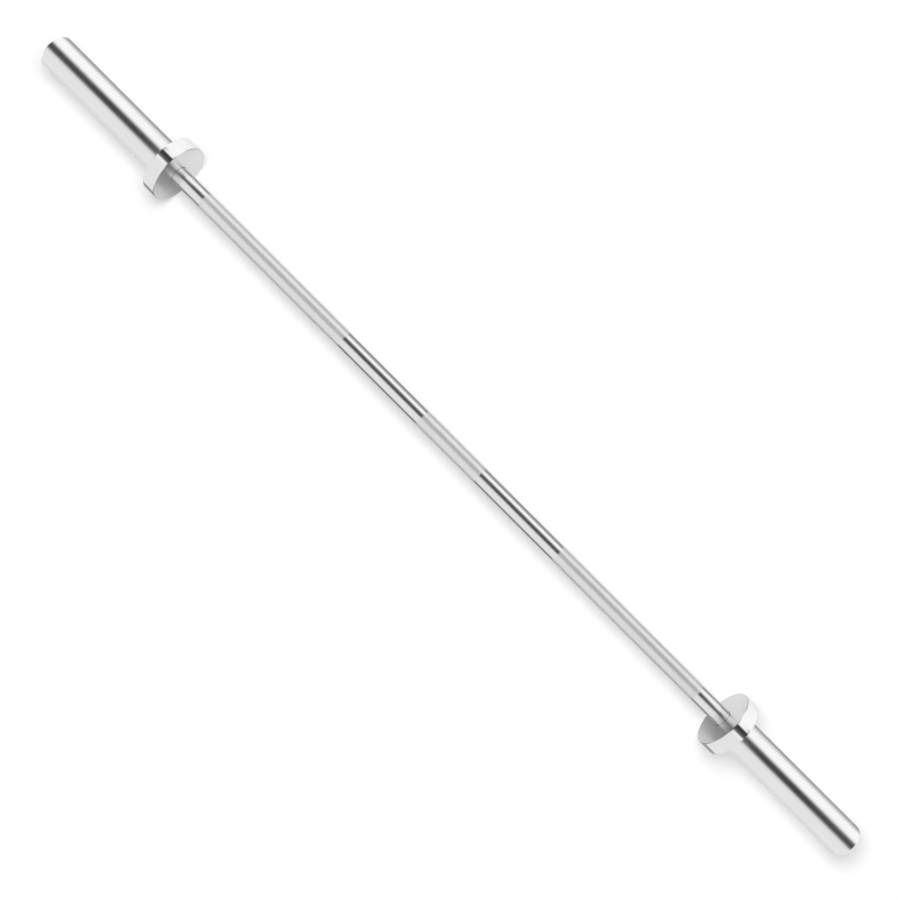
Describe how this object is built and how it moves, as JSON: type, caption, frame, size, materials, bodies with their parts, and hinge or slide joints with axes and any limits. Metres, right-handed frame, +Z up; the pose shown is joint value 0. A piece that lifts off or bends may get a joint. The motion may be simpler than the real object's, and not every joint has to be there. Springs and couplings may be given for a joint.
{
  "type": "olympic barbell",
  "caption": "Short olympic barbell: a knurled chrome shaft with, at each end, a wide collar and a smooth plate sleeve that spins on bronze bushings.",
  "frame": {"origin": "the middle of the bar, on its axis", "axes": "+X along the bar towards the right sleeve, +Z up; the bar is round about X"},
  "size_m": [1.5, 0.088, 0.088],
  "materials": {
    "shaft_chrome": "bright chrome plate over ground steel, with diamond knurls on the grips and the middle",
    "sleeve_chrome": "bright chrome plate over turned steel",
    "collar_chrome": "chrome plate, polished on the rim and fine-turned on the flat faces",
    "cap_chrome": "satin chrome plate over turned steel",
    "bushing_bronze": "oiled sintered bronze",
    "washer_steel": "ground steel",
    "spring_steel": "black phosphated spring steel",
    "seal_rubber": "black nitrile rubber"
  },
  "bodies": {
    "bar": {"shaft": "shaft_chrome", "left_inner_washer": "washer_steel", "left_outer_washer": "washer_steel", "left_shaft_ring": "spring_steel", "right_inner_washer": "washer_steel", "right_outer_washer": "washer_steel", "right_shaft_ring": "spring_steel"},
    "left_sleeve": {"left_collar": "collar_chrome", "left_dust_seal": "seal_rubber", "left_sleeve_tube": "sleeve_chrome", "left_inner_bushing": "bushing_bronze", "left_outer_bushing": "bushing_bronze", "left_end_cap": "cap_chrome", "left_cap_ring": "spring_steel"},
    "right_sleeve": {"right_collar": "collar_chrome", "right_dust_seal": "seal_rubber", "right_sleeve_tube": "sleeve_chrome", "right_inner_bushing": "bushing_bronze", "right_outer_bushing": "bushing_bronze", "right_end_cap": "cap_chrome", "right_cap_ring": "spring_steel"}
  },
  "joints": [
    {"name": "left_sleeve_spin", "type": "hinge", "parent": "bar", "child": "left_sleeve", "pos_m": [-0.6425, 0, 0], "axis": [1, 0, 0], "continuous": true},
    {"name": "right_sleeve_spin", "type": "hinge", "parent": "bar", "child": "right_sleeve", "pos_m": [0.6425, 0, 0], "axis": [1, 0, 0], "continuous": true}
  ]
}
